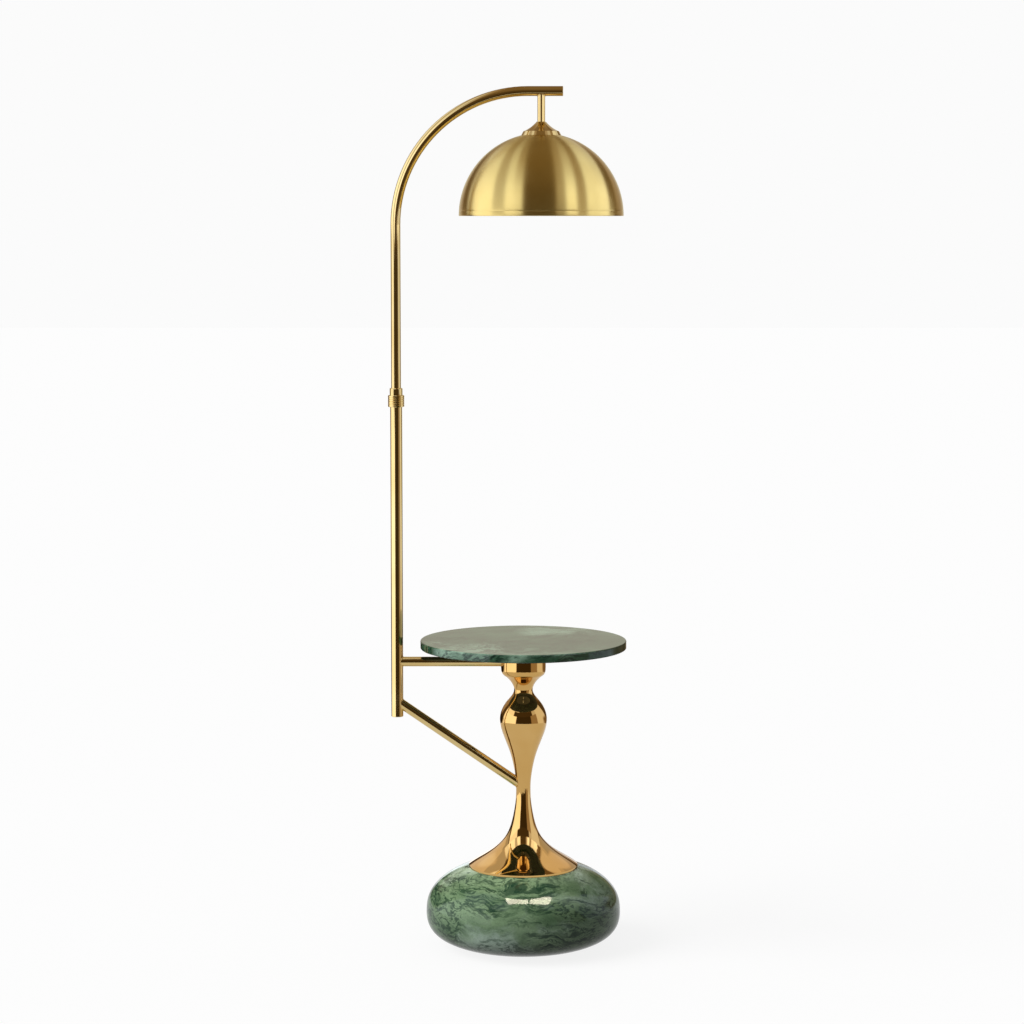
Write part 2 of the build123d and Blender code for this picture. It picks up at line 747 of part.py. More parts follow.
export_step(shade_cap.part, "parts/shade_cap.step")

# Shade: a spun half sphere with a flat land at its crown and a hem at its rim
shade_bore = shade_radius - shade_thickness
crown_angle = degrees(asin(shade_land_height / shade_radius))
hem_angle = degrees(asin(shade_hem_height / shade_bore))
under_angle = degrees(asin((shade_land_height - shade_thickness) / shade_bore))
with BuildPart() as shade:
    with BuildSketch(shade_plane):
        with BuildLine():
            outside = CenterArc((0, 0), shade_radius, 0, crown_angle)
            inside = CenterArc((0, 0), shade_bore, hem_angle, under_angle - hem_angle)
            Polyline(
                outside @ 1,
                (nipple_hole, shade_land_height),
                (nipple_hole, shade_land_height - shade_thickness),
                inside @ 1,
            )
            Polyline(
                inside @ 0,
                (shade_radius - shade_hem_thickness, shade_hem_height),
                (shade_radius - shade_hem_thickness, 0),
                outside @ 0,
            )
        make_face()
    revolve(axis=head_axis)
shade.part.label = "shade"
export_step(shade.part, "parts/shade.step")

# Washer and nut that clamp the shade
with BuildPart() as shade_washer:
    with BuildSketch(Plane(origin=(stem_x, 0, washer_z))):
        Circle(washer_diameter / 2)
        Circle(nipple_hole, mode=Mode.SUBTRACT)
    extrude(amount=washer_thickness)
shade_washer.part.label = "shade_washer"
export_step(shade_washer.part, "parts/shade_washer.step")

with BuildPart() as shade_nut:
    with BuildSketch(Plane(origin=(stem_x, 0, holder_top_z))):
        RegularPolygon(head_nut_flats / 2, 6, major_radius=False)
        Circle(stem_bore, mode=Mode.SUBTRACT)
    extrude(amount=head_nut_height)
shade_nut.part.label = "shade_nut"
export_step(shade_nut.part, "parts/shade_nut.step")

# Lamp holder: screws on the nipple, with a terminal room and the bore for the screw shell
holder_radius = holder_diameter / 2
with BuildPart() as lamp_holder:
    with BuildSketch(head_plane):
        with BuildLine():
            Polyline(
                (stem_bore, holder_top_z),
                (holder_neck_diameter / 2, holder_top_z),
                (holder_neck_diameter / 2, holder_shoulder_z),
                (holder_radius, holder_body_z),
                (holder_radius, holder_mouth_z),
                (shell_radius + seat_gap, holder_mouth_z),
                (shell_radius + seat_gap, holder_bore_z),
                (terminal_room_diameter / 2, holder_bore_z),
                (terminal_room_diameter / 2, holder_shoulder_z),
                (stem_bore, holder_shoulder_z),
                close=True,
            )
        make_face()
    revolve(axis=head_axis)
    outer_rims = lamp_holder.edges().filter_by(GeomType.CIRCLE)
    fillet(outer_rims.filter_by(lambda edge: edge.radius > holder_radius - run_gap), holder_edge_round)
lamp_holder.part.label = "lamp_holder"
export_step(lamp_holder.part, "parts/lamp_holder.step")

with BuildPart() as holder_shell:
    with BuildSketch(Plane(origin=(stem_x, 0, holder_mouth_z + shell_inset))):
        Circle(shell_radius)
        Circle(shell_bore, mode=Mode.SUBTRACT)
    extrude(amount=shell_length)
holder_shell.part.label = "holder_shell"
export_step(holder_shell.part, "parts/holder_shell.step")

with BuildPart() as holder_contact:
    with BuildSketch(Plane(origin=(stem_x, 0, contact_z))):
        Circle(contact_diameter / 2)
    extrude(amount=contact_thickness)
holder_contact.part.label = "holder_contact"
export_step(holder_contact.part, "parts/holder_contact.step")

# Bulb: metal cap and hollow glass
with BuildPart() as bulb_cap:
    with BuildSketch(head_plane):
        with BuildLine():
            Polyline(
                (0, bulb_cap_z),
                (bulb_cap_radius, bulb_cap_z),
                (bulb_cap_radius, bulb_shoulder_z - bulb_cap_cone),
                (bulb_tip_diameter / 2, bulb_shoulder_z),
                (bulb_tip_diameter / 2, bulb_tip_z),
                (0, bulb_tip_z),
                close=True,
            )
        make_face()
    revolve(axis=head_axis)
bulb_cap.part.label = "bulb_cap"
export_step(bulb_cap.part, "parts/bulb_cap.step")

glass_radius = glass_diameter / 2
glass_neck = glass_neck_diameter / 2
downward_tangents = ((0, -1), (0, -1))
with BuildPart() as bulb_glass:
    with BuildSketch(head_plane):
        with BuildLine():
            outside = Spline((glass_neck, bulb_cap_z), (glass_radius, glass_z), tangents=downward_tangents)
            outer_end = CenterArc((0, glass_z), glass_radius, 0, -90)
            inside = Spline(
                (glass_neck - glass_wall, bulb_cap_z),
                (glass_radius - glass_wall, glass_z),
                tangents=downward_tangents,
            )
            inner_end = CenterArc((0, glass_z), glass_radius - glass_wall, 0, -90)
            Line(outside @ 0, inside @ 0)
            Line(outer_end @ 1, inner_end @ 1)
        make_face()
    revolve(axis=head_axis)
bulb_glass.part.label = "bulb_glass"
export_step(bulb_glass.part, "parts/bulb_glass.step")

# Inner lead, in the mast, slack in the pole, and through the stand to the gland
with BuildPart() as mast_lead:
    with BuildLine():
        FilletPolyline(
            (pole_x, 0, bush_foot_z),
            (pole_x, 0, level_z),
            (stem_x, 0, level_z),
            (stem_x, 0, holder_bore_z),
            radius=[bend_radius, stem_lead_bend],
        )
    with BuildSketch(Plane(origin=(pole_x, 0, bush_foot_z))):
        Circle(lead_radius)
    sweep()
mast_lead.part.label = "mast_lead"
export_step(mast_lead.part, "parts/mast_lead.step")

with BuildPart() as pole_lead:
    with BuildSketch(Plane(origin=(pole_x, 0, slack_foot_z))):
        Circle(lead_radius)
    extrude(amount=bush_foot_z - slack_foot_z)
pole_lead.part.label = "pole_lead"
export_step(pole_lead.part, "parts/pole_lead.step")

with BuildPart() as stand_lead:
    with BuildLine():
        FilletPolyline(
            (pole_x, 0, slack_foot_z),
            (pole_x, 0, arm_z),
            (column_lead_x, 0, arm_z),
            (column_lead_x, 0, waist_z - lead_turn_below_waist),
            (0, lead_hole_offset, seat_z + lead_turn_above_seat),
            (0, lead_hole_offset, gland_z),
            (0, gland_seat_y + gland_flange_thickness, gland_z),
            radius=[arm_lead_bend, cup_lead_bend, trumpet_lead_bend, trumpet_lead_bend, base_lead_bend],
        )
    with BuildSketch(Plane(origin=(pole_x, 0, slack_foot_z), z_dir=(0, 0, -1))):
        Circle(lead_radius)
    sweep()
stand_lead.part.label = "stand_lead"
export_step(stand_lead.part, "parts/stand_lead.step")
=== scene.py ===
import json
from math import asin, atan, cos, degrees, pi, radians, sin

import bpy
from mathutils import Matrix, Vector


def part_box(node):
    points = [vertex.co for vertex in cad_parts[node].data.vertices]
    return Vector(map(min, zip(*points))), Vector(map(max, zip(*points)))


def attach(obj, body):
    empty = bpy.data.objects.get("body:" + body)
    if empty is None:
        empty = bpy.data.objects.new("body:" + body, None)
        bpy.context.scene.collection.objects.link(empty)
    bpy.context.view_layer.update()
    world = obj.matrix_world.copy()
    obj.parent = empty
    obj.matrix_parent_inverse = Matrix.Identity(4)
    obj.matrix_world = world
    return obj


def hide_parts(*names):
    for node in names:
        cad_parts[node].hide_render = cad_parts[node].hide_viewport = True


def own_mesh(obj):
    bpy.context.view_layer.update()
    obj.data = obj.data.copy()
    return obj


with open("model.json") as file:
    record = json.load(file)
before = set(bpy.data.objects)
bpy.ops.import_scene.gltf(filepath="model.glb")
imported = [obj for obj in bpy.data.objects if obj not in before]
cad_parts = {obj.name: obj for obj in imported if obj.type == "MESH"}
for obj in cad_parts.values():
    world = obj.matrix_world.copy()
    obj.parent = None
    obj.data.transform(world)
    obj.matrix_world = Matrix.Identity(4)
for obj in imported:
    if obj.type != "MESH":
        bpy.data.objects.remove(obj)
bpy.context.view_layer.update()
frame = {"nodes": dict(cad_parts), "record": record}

# The photograph's camera, level with the shade's rim and looking a little down
PICTURE_WIDTH = 1024
FOCAL_PIXELS = 2900
HORIZON_ROW = 216
CAMERA_PLACE = (-0.021, -5.300, 1.352)
SENSOR_WIDTH = 36.0

# Studio tent, half a ball of light and dark bands that only reflections see
TENT_CENTRE_X = -0.05
TENT_RADIUS = 1.9
TENT_HEIGHT = 2.9
TENT_SEGMENTS = 96
TENT_RINGS = 48

# Bands in degrees to the right, as the shade mirrors them, each with its levels at rim, half way and crown
TENT_BANDS = (
    (-180, -139, 0.45, 0.45, 0.40),
    (-139, -121, 0.15, 0.16, 0.34),
    (-121, -106, 0.85, 0.55, 0.30),
    (-106, -68, 1.70, 1.10, 0.33),
    (-68, -50, 0.75, 0.60, 0.30),
    (-50, -37, 1.70, 0.93, 0.34),
    (-37, -25, 1.60, 0.44, 0.26),
    (-25, 19, 0.09, 0.23, 0.24),
    (19, 32, 0.62, 0.48, 0.28),
    (32, 47, 1.80, 0.68, 0.27),
    (47, 62, 0.55, 0.38, 0.21),
    (62, 83, 1.45, 1.05, 0.50),
    (83, 103, 1.70, 0.85, 0.62),
    (103, 124, 0.22, 0.16, 0.50),
    (124, 144, 0.42, 0.42, 0.45),
    (144, 180, 0.45, 0.45, 0.40),
)

# Bands lower down, which the column and the pole mirror
TENT_LOW_BANDS = (
    (-180, -140, 0.60),
    (-140, -122, 0.42),
    (-122, -104, 0.10),
    (-104, -34, 1.65),
    (-34, 34, 0.05),
    (34, 66, 0.40),
    (66, 116, 0.95),
    (116, 138, 0.10),
    (138, 150, 0.42),
    (150, 180, 0.60),
)

# Bands between those two, which the mast mirrors
TENT_MAST_BANDS = (
    (-180, -140, 0.60),
    (-140, -128, 0.42),
    (-128, -104, 0.10),
    (-104, -52, 1.40),
    (-52, 45, 0.07),
    (45, 66, 0.75),
    (66, 116, 0.95),
    (116, 138, 0.25),
    (138, 150, 0.42),
    (150, 180, 0.60),
)

# Degrees of rise over which one ring of bands gives way to the next, and the half width of a band's soft edge
TENT_RING_EDGES = ((-9.5, -8.0), (-2.0, -0.4), (8.0, 32.0), (33.0, 60.0))
TENT_BAND_EDGE = 1.5
BAND_RAMP_TOP = 2.0

# Plain back wall, and a dark skirting round its foot that draws the outlines of the polished pieces
TENT_BACK = 0.66
TENT_BACK_DEPTH = (0.82, 0.93)
TENT_FOOT_RISE = (0.28, 0.60)
TENT_FOOT_SIDE = (92, 106)
TENT_FOOT_SHADE = 0.78

# Tints of dark bands, light bands and back wall, and the levels between which the first two blend
FLAG_TINT = (1.0, 0.66, 0.30, 1)
LIGHT_TINT = (0.97, 1.0, 1.09, 1)
BACK_TINT = (1.0, 0.93, 0.74, 1)
TINT_LEVELS = (0.1, 0.9)

# Pair of soft boxes hung over the table's front edge, which show in the marble base alone
LOW_BOX_SIZE = (0.27, 0.30)
LOW_BOX_GAP = 0.02
LOW_BOX_PLACE = (0.07, -0.25, 0.90)
LOW_BOX_POWER = 9.0
BASE_LIGHT_TINT = (1.0, 0.91, 0.70)

# Weak fill under the table, which lights the marble base alone where the table shades it
BASE_FILL_SIZE = (0.20, 0.30)
BASE_FILL_PLACE = (-0.09, -0.02)
BASE_FILL_DROP = 0.03
BASE_FILL_POWER = 1.3

# Pair of large soft boxes behind the lamp, which show in the trumpet foot alone and brighten its rim
RIM_BOX_SIZE = (1.6, 1.5)
RIM_BOX_PLACE = (0.74, 0.98, 1.03)
RIM_BOX_POWER = 3.2
RIM_LIGHT_TINT = (1.0, 1.0, 1.0)

# The daylight comes over the left shoulder
SUN_FROM = (-0.86, -0.36, 0.62)
SUN_LEVEL = 2.9
SUN_SPREAD = 50.0

# White floor and surroundings, as the camera and the mirrors see them
FLOOR_SIZE = 60.0
FLOOR_TONE = 0.15
FLOOR_GLOW = 0.855
FLOOR_GLOW_MIRRORED = 0.62
WORLD_SEEN = 0.965
WORLD_FILL = 0.33
WHITE = (1, 1, 1, 1)

# Sockets of a Mix node that take and give colours, and those that take and give values
MIX_COLOUR_INPUTS = (0, 6, 7)
MIX_COLOUR_RESULT = 2
MIX_VALUE_INPUTS = (0, 2, 3)
MIX_VALUE_RESULT = 0


# Node helpers
def add_node(tree, kind, values=None, **settings):
    """A shader node with its settings and its unlinked input values."""
    node = tree.nodes.new(kind)
    for name, value in settings.items():
        setattr(node, name, value)
    for name, value in (values or {}).items():
        node.inputs[name].default_value = value
    return node


def wire(tree, source, target):
    """Links one socket to another."""
    tree.links.new(source, target)


def feed(tree, term, socket):
    """Gives a socket a plain value, or links another socket to it."""
    if isinstance(term, (int, float, tuple)):
        socket.default_value = term
    else:
        wire(tree, term, socket)


def calculate(tree, operation, *terms, clamp=False):
    """A Math node fed by sockets or plain numbers; returns its result."""
    node = add_node(tree, "ShaderNodeMath", operation=operation, use_clamp=clamp)
    for term, socket in zip(terms, node.inputs):
        feed(tree, term, socket)
    return node.outputs["Value"]


def calculate_vector(tree, operation, *terms):
    """A Vector Math node fed by sockets or plain vectors; returns its result."""
    node = add_node(tree, "ShaderNodeVectorMath", operation=operation)
    for term, socket in zip(terms, node.inputs):
        feed(tree, term, socket)
    return node.outputs["Vector"]


def split_vector(tree, vector):
    """The three parts of a vector."""
    node = add_node(tree, "ShaderNodeSeparateXYZ")
    wire(tree, vector, node.inputs["Vector"])
    return node.outputs["X"], node.outputs["Y"], node.outputs["Z"]


def blend_colour(tree, share, first, second, mode="MIX"):
    """A colour mix of sockets or plain colours; returns its result."""
    node = add_node(tree, "ShaderNodeMix", data_type="RGBA", blend_type=mode)
    for term, place in zip((share, first, second), MIX_COLOUR_INPUTS):
        feed(tree, term, node.inputs[place])
    return node.outputs[MIX_COLOUR_RESULT]


def blend_value(tree, share, first, second):
    """A mix of two values, sockets or plain numbers; returns its result."""
    node = add_node(tree, "ShaderNodeMix", data_type="FLOAT")
    for term, place in zip((share, first, second), MIX_VALUE_INPUTS):
        feed(tree, term, node.inputs[place])
    return node.outputs[MIX_VALUE_RESULT]


def ramp(tree, value, low, high, first=0.0, last=1.0):
    """A smooth step of a value from one level to another."""
    node = add_node(
        tree,
        "ShaderNodeMapRange",
        {"From Min": low, "From Max": high, "To Min": first, "To Max": last},
        interpolation_type="SMOOTHSTEP",
    )
    wire(tree, value, node.inputs["Value"])
    return node.outputs["Result"]


def noise(tree, vector, scale, detail=3.0, roughness=0.55, output="Fac"):
    """A noise pattern, as a value or a colour."""
    node = add_node(tree, "ShaderNodeTexNoise", {"Detail": detail, "Roughness": roughness})
    wire(tree, vector, node.inputs["Vector"])
    feed(tree, scale, node.inputs["Scale"])
    return node.outputs[output]


def stretched(tree, vector, scale, turn=(0, 0, 0), place=(0, 0, 0)):
    """The vector moved, turned and scaled by a Mapping node."""
    node = add_node(tree, "ShaderNodeMapping", {"Location": place, "Rotation": turn, "Scale": scale})
    wire(tree, vector, node.inputs["Vector"])
    return node.outputs["Vector"]


def pushed(tree, vector, push, amount):
    """The vector moved about by a noise colour, the same amount each way."""
    centred = calculate_vector(tree, "SUBTRACT", push, (0.5, 0.5, 0.5))
    return calculate_vector(tree, "MULTIPLY_ADD", centred, (amount, amount, amount), vector)


def add_grey(tree, value):
    """A grey colour of one value."""
    node = add_node(tree, "ShaderNodeCombineColor")
    for channel in ("Red", "Green", "Blue"):
        wire(tree, value, node.inputs[channel])
    return node.outputs["Color"]


def new_group(name, inputs, outputs):
    """An empty node group with named sockets; returns the tree and its two end nodes."""
    tree = bpy.data.node_groups.new(name, "ShaderNodeTree")
    for socket, kind, value in inputs:
        made = tree.interface.new_socket(socket, in_out="INPUT", socket_type=kind)
        if value is not None:
            made.default_value = value
    for socket in outputs:
        tree.interface.new_socket(socket, in_out="OUTPUT", socket_type="NodeSocketFloat")
    return tree, tree.nodes.new("NodeGroupInput"), tree.nodes.new("NodeGroupOutput")


def place_group(tree, group, vector, values=None):
    """One use of a node group, with its own values."""
    node = add_node(tree, "ShaderNodeGroup", values, node_tree=group)
    wire(tree, vector, node.inputs["Vector"])
    return node


def new_material(name, **sockets):
    """A material with a Principled shader and its plain socket values."""
    material = bpy.data.materials.new(name)
    material.use_nodes = True
    tree = material.node_tree
    shader = tree.nodes["Principled BSDF"]
    for socket, value in sockets.items():
        shader.inputs[socket.replace("_", " ")].default_value = value
    place = add_node(tree, "ShaderNodeTexCoord").outputs["Object"]
    return material, tree, shader, place


def bump(tree, height, shader, distance, strength=1.0):
    """Fine relief on a shader's surface."""
    node = add_node(tree, "ShaderNodeBump", {"Strength": strength, "Distance": distance})
    wire(tree, height, node.inputs["Height"])
    wire(tree, node.outputs["Normal"], shader.inputs["Normal"])


# Handling marks on polished and painted surfaces: smudges, fine scratches and a slight waviness
SMUDGE_SCALE = 18.0
SCRATCH_SCALE = 900.0
SCRATCH_STRETCH = (1.0, 1.0, 0.06)
SCRATCH_TURN = (0.35, 0.2, 0.5)
SCRATCH_SHARE = 0.20
WAVE_SCALE = 16.0
TONE_SCALE = 7.0


def make_handling_marks():
    tree, source, sink = new_group(
        "handling_marks",
        [
            ("Vector", "NodeSocketVector", None),
            ("Smooth", "NodeSocketFloat", 0.08),
            ("Smudged", "NodeSocketFloat", 0.16),
            ("Smudge Size", "NodeSocketFloat", SMUDGE_SCALE),
        ],
        ["Roughness", "Height", "Tone"],
    )
    vector = source.outputs["Vector"]
    smooth = source.outputs["Smooth"]
    smudge = noise(tree, vector, source.outputs["Smudge Size"], detail=5.0, roughness=0.6)
    patches = ramp(tree, smudge, 0.42, 0.72)
    drawn_out = stretched(tree, vector, SCRATCH_STRETCH, SCRATCH_TURN)
    scratches = ramp(tree, noise(tree, drawn_out, SCRATCH_SCALE, detail=2.0), 0.60, 0.78)
    marks = calculate(tree, "MULTIPLY_ADD", scratches, SCRATCH_SHARE, patches)
    span = calculate(tree, "SUBTRACT", source.outputs["Smudged"], smooth)
    wire(tree, calculate(tree, "MULTIPLY_ADD", marks, span, smooth), sink.inputs["Roughness"])
    wire(tree, noise(tree, vector, WAVE_SCALE, detail=1.0), sink.inputs["Height"])
    wire(tree, noise(tree, vector, TONE_SCALE), sink.inputs["Tone"])
    return tree


# Green marble: clouded body, drifting veins, feathered streaks, dark drifts and pale patches
STONE_SCALE = 8.0
VEIN_LEVELS = 13.0
VEIN_SOFTNESS = 0.6


def make_stone_body():
    tree, source, sink = new_group(
        "stone_body",
        [("Vector", "NodeSocketVector", None), ("Scale", "NodeSocketFloat", STONE_SCALE)],
        ["Clouds", "Drifts", "Veins", "Feathers", "Pale", "Grain"],
    )
    scaled = add_node(tree, "ShaderNodeVectorMath", operation="SCALE")
    wire(tree, source.outputs["Vector"], scaled.inputs["Vector"])
    wire(tree, source.outputs["Scale"], scaled.inputs["Scale"])
    start = scaled.outputs["Vector"]

    # The stone's folds push every layer about before it is drawn
    folded = pushed(tree, start, noise(tree, start, scale=0.9, detail=2.0, output="Color"), amount=0.60)
    folded = pushed(tree, folded, noise(tree, start, scale=3.4, output="Color"), amount=0.16)
    flat = stretched(tree, folded, (0.75, 0.75, 2.10), turn=(0.08, 0.16, 0.0))
    wire(tree, noise(tree, flat, scale=1.3, detail=7.0, roughness=0.62), sink.inputs["Clouds"])

    drifting = stretched(tree, flat, (1.1, 1.1, 0.7), place=(3.1, 1.7, 5.2))
    drifts = noise(tree, drifting, scale=1.0)
    wire(tree, ramp(tree, drifts, 0.52, 0.70), sink.inputs["Drifts"])

    # Veins are level lines of a folded field, gathered in drifts and broken off outside them
    field = noise(tree, flat, scale=1.1, detail=5.0, roughness=0.62)
    nearness = calculate(tree, "PINGPONG", calculate(tree, "MULTIPLY", field, VEIN_LEVELS), 0.5)
    weight = ramp(tree, noise(tree, flat, scale=2.3), 0.36, 0.62, first=0.06, last=0.42)
    line = calculate(tree, "SUBTRACT", 1.0, calculate(tree, "DIVIDE", nearness, weight), clamp=True)
    softened = calculate(tree, "POWER", line, VEIN_SOFTNESS)
    gathered = ramp(tree, drifts, 0.40, 0.52)
    wire(tree, calculate(tree, "MULTIPLY", softened, gathered), sink.inputs["Veins"])

    # Feathers are short dark streaks, gathered elsewhere
    streaked = stretched(tree, folded, (1.2, 1.2, 6.0), turn=(0.25, 0.34, 0.0))
    streaks = ramp(tree, noise(tree, streaked, scale=1.9, detail=6.0, roughness=0.66), 0.50, 0.60)
    moved = stretched(tree, flat, (1, 1, 0.8), place=(7.3, 2.9, 1.4))
    elsewhere = ramp(tree, noise(tree, moved, scale=1.1), 0.44, 0.56)
    wire(tree, calculate(tree, "MULTIPLY", streaks, elsewhere), sink.inputs["Feathers"])

    patched = stretched(tree, folded, (0.8, 0.8, 1.5), place=(4.0, 2.0, 7.0))
    pale = ramp(tree, noise(tree, patched, scale=0.9, detail=6.0, roughness=0.62), 0.48, 0.66)
    wire(tree, pale, sink.inputs["Pale"])
    wire(tree, noise(tree, start, scale=34.0, detail=4.0, roughness=0.7), sink.inputs["Grain"])
    return tree


# Lines that a tool leaves on spun metal, level rings at uneven spacing
SPUN_LINES_PER_METRE = 2200.0
SPUN_BAND_SCALE = 140.0


def make_spun_lines():
    tree, source, sink = new_group(
        "spun_lines",
        [
            ("Vector", "NodeSocketVector", None),
            ("Lines Per Metre", "NodeSocketFloat", SPUN_LINES_PER_METRE),
        ],
        ["Lines", "Bands"],
    )
    upright = add_node(tree, "ShaderNodeCombineXYZ")
    wire(tree, split_vector(tree, source.outputs["Vector"])[2], upright.inputs["Z"])
    height = upright.outputs["Vector"]
    lines = noise(tree, height, source.outputs["Lines Per Metre"], roughness=0.7)
    wire(tree, lines, sink.inputs["Lines"])
    wire(tree, noise(tree, height, SPUN_BAND_SCALE, detail=4.0), sink.inputs["Bands"])
    return tree


handling_marks = make_handling_marks()
stone_body = make_stone_body()
spun_lines = make_spun_lines()

# Depths of the fine relief on each kind of surface
METAL_WAVE_DEPTH = 0.00010
STONE_WAVE_DEPTH = 0.00006
SPUN_LINE_DEPTH = 0.00002
SPECKLE_DEPTH = 0.00005
SPECKLE_SCALE = 700.0


def make_polished_metal(name, light, deep, smooth, smudged):
    """Polished plated metal whose tone drifts between two colours."""
    material, tree, shader, place = new_material(name, Metallic=1.0)
    marks = place_group(tree, handling_marks, place, {"Smooth": smooth, "Smudged": smudged})
    tone = ramp(tree, marks.outputs["Tone"], 0.35, 0.65)
    wire(tree, blend_colour(tree, tone, light, deep), shader.inputs["Base Color"])
    wire(tree, marks.outputs["Roughness"], shader.inputs["Roughness"])
    bump(tree, marks.outputs["Height"], shader, METAL_WAVE_DEPTH)
    return material


def make_spun_brass(name, light, deep):
    """Brushed and lacquered brass, spun about the upright axis."""
    material, tree, shader, place = new_material(
        name,
        Metallic=1.0,
        Anisotropic=0.96,
        Anisotropic_Rotation=0.25,
        Coat_Weight=0.16,
        Coat_Roughness=0.25,
    )
    lines = place_group(tree, spun_lines, place)
    marks = place_group(tree, handling_marks, place, {"Smooth": 0.25, "Smudged": 0.30})
    tone = calculate(tree, "MULTIPLY_ADD", lines.outputs["Lines"], 0.6, marks.outputs["Tone"])
    colour = blend_colour(tree, ramp(tree, tone, 0.55, 1.05), light, deep)
    wire(tree, colour, shader.inputs["Base Color"])
    rough = calculate(tree, "MULTIPLY_ADD", lines.outputs["Bands"], 0.08, marks.outputs["Roughness"])
    wire(tree, rough, shader.inputs["Roughness"])
    around = add_node(tree, "ShaderNodeTangent", direction_type="RADIAL", axis="Z")
    wire(tree, around.outputs["Tangent"], shader.inputs["Tangent"])
    bump(tree, lines.outputs["Lines"], shader, SPUN_LINE_DEPTH, strength=0.5)
    return material


def make_marble(name, gloss, mid, light, dark, vein, turn=(0, 0, 0), move=(0, 0, 0)):
    """Polished green marble from the stone's masks and four colours."""
    material, tree, shader, place = new_material(name, IOR=1.50, Specular_IOR_Level=gloss)
    cut = stretched(tree, place, (1, 1, 1), turn, move)
    stone = place_group(tree, stone_body, cut, {"Scale": STONE_SCALE})
    body = blend_colour(tree, ramp(tree, stone.outputs["Clouds"], 0.36, 0.62), dark, mid)
    layers = (("Pale", 0.85, light), ("Drifts", 0.45, dark), ("Feathers", 0.80, vein), ("Veins", 0.90, vein))
    for mask, strength, colour in layers:
        cover = calculate(tree, "MULTIPLY", stone.outputs[mask], strength)
        body = blend_colour(tree, cover, body, colour)
    grain = ramp(tree, stone.outputs["Grain"], 0.25, 0.75, first=0.84, last=1.16)
    body = blend_colour(tree, 1.0, body, add_grey(tree, grain), "MULTIPLY")
    wire(tree, body, shader.inputs["Base Color"])
    marks = place_group(tree, handling_marks, place, {"Smooth": 0.05, "Smudged": 0.13})
    rough = calculate(tree, "MULTIPLY_ADD", stone.outputs["Veins"], 0.03, marks.outputs["Roughness"])
    wire(tree, rough, shader.inputs["Roughness"])
    bump(tree, marks.outputs["Height"], shader, STONE_WAVE_DEPTH)
    return material


def make_plain_finish(name, colour, mottle, smooth, smudged, **sockets):
    """Moulded, rubber or glass finish with a mottled tone and handling marks."""
    material, tree, shader, place = new_material(name, **sockets)
    marks = place_group(tree, handling_marks, place, {"Smooth": smooth, "Smudged": smudged})
    speckle = noise(tree, place, SPECKLE_SCALE, detail=2.0)
    tone = calculate(tree, "MULTIPLY_ADD", speckle, 0.5, marks.outputs["Tone"])
    mottled = blend_colour(tree, ramp(tree, tone, 0.5, 1.0), colour, mottle)
    wire(tree, mottled, shader.inputs["Base Color"])
    wire(tree, marks.outputs["Roughness"], shader.inputs["Roughness"])
    bump(tree, speckle, shader, SPECKLE_DEPTH)
    return material


# Metals
tube_brass = make_polished_metal(
    "tube_brass", light=(0.77, 0.59, 0.27, 1), deep=(0.71, 0.52, 0.21, 1), smooth=0.06, smudged=0.14
)
column_gold = make_polished_metal(
    "column_gold", light=(0.74, 0.47, 0.17, 1), deep=(0.68, 0.41, 0.13, 1), smooth=0.03, smudged=0.09
)
shade_brass = make_spun_brass("shade_brass", light=(0.77, 0.60, 0.22, 1), deep=(0.69, 0.51, 0.16, 1))
bare_brass = make_polished_metal(
    "bare_brass", light=(0.72, 0.53, 0.26, 1), deep=(0.62, 0.44, 0.20, 1), smooth=0.22, smudged=0.34
)
zinc_plate = make_polished_metal(
    "zinc_plate", light=(0.60, 0.61, 0.60, 1), deep=(0.48, 0.50, 0.52, 1), smooth=0.26, smudged=0.40
)
dark_zinc = make_polished_metal(
    "dark_zinc", light=(0.13, 0.14, 0.13, 1), deep=(0.09, 0.10, 0.09, 1), smooth=0.40, smudged=0.55
)
bulb_metal = make_polished_metal(
    "bulb_metal", light=(0.80, 0.80, 0.80, 1), deep=(0.70, 0.70, 0.71, 1), smooth=0.16, smudged=0.28
)

# Marbles, the table's cut from another place and at another angle
base_marble = make_marble(
    "base_marble",
    gloss=0.20,
    mid=(0.172, 0.262, 0.148, 1),
    light=(0.360, 0.465, 0.385, 1),
    dark=(0.082, 0.146, 0.076, 1),
    vein=(0.010, 0.036, 0.020, 1),
)
top_marble = make_marble(
    "top_marble",
    gloss=0.32,
    mid=(0.056, 0.138, 0.076, 1),
    light=(0.290, 0.455, 0.330, 1),
    dark=(0.024, 0.070, 0.038, 1),
    vein=(0.006, 0.022, 0.014, 1),
    turn=(0.4, 0.2, 0.3),
    move=(0.3, 0.1, 0.0),
)

# Rubber, plastics, lead and glass
black_rubber = make_plain_finish(
    "black_rubber", (0.018, 0.018, 0.018, 1), (0.035, 0.034, 0.033, 1), smooth=0.62, smudged=0.80
)
black_plastic = make_plain_finish(
    "black_plastic", (0.012, 0.012, 0.013, 1), (0.022, 0.022, 0.023, 1), smooth=0.28, smudged=0.44
)
white_nylon = make_plain_finish(
    "white_nylon", (0.74, 0.72, 0.66, 1), (0.66, 0.64, 0.58, 1), smooth=0.38, smudged=0.55
)
lead_sheath = make_plain_finish(
    "lead_sheath", (0.020, 0.020, 0.021, 1), (0.032, 0.032, 0.033, 1), smooth=0.45, smudged=0.60
)
opal_glass = make_plain_finish(
    "opal_glass",
    (0.90, 0.88, 0.82, 1),
    (0.86, 0.84, 0.78, 1),
    smooth=0.12,
    smudged=0.22,
    Subsurface_Weight=0.25,
)

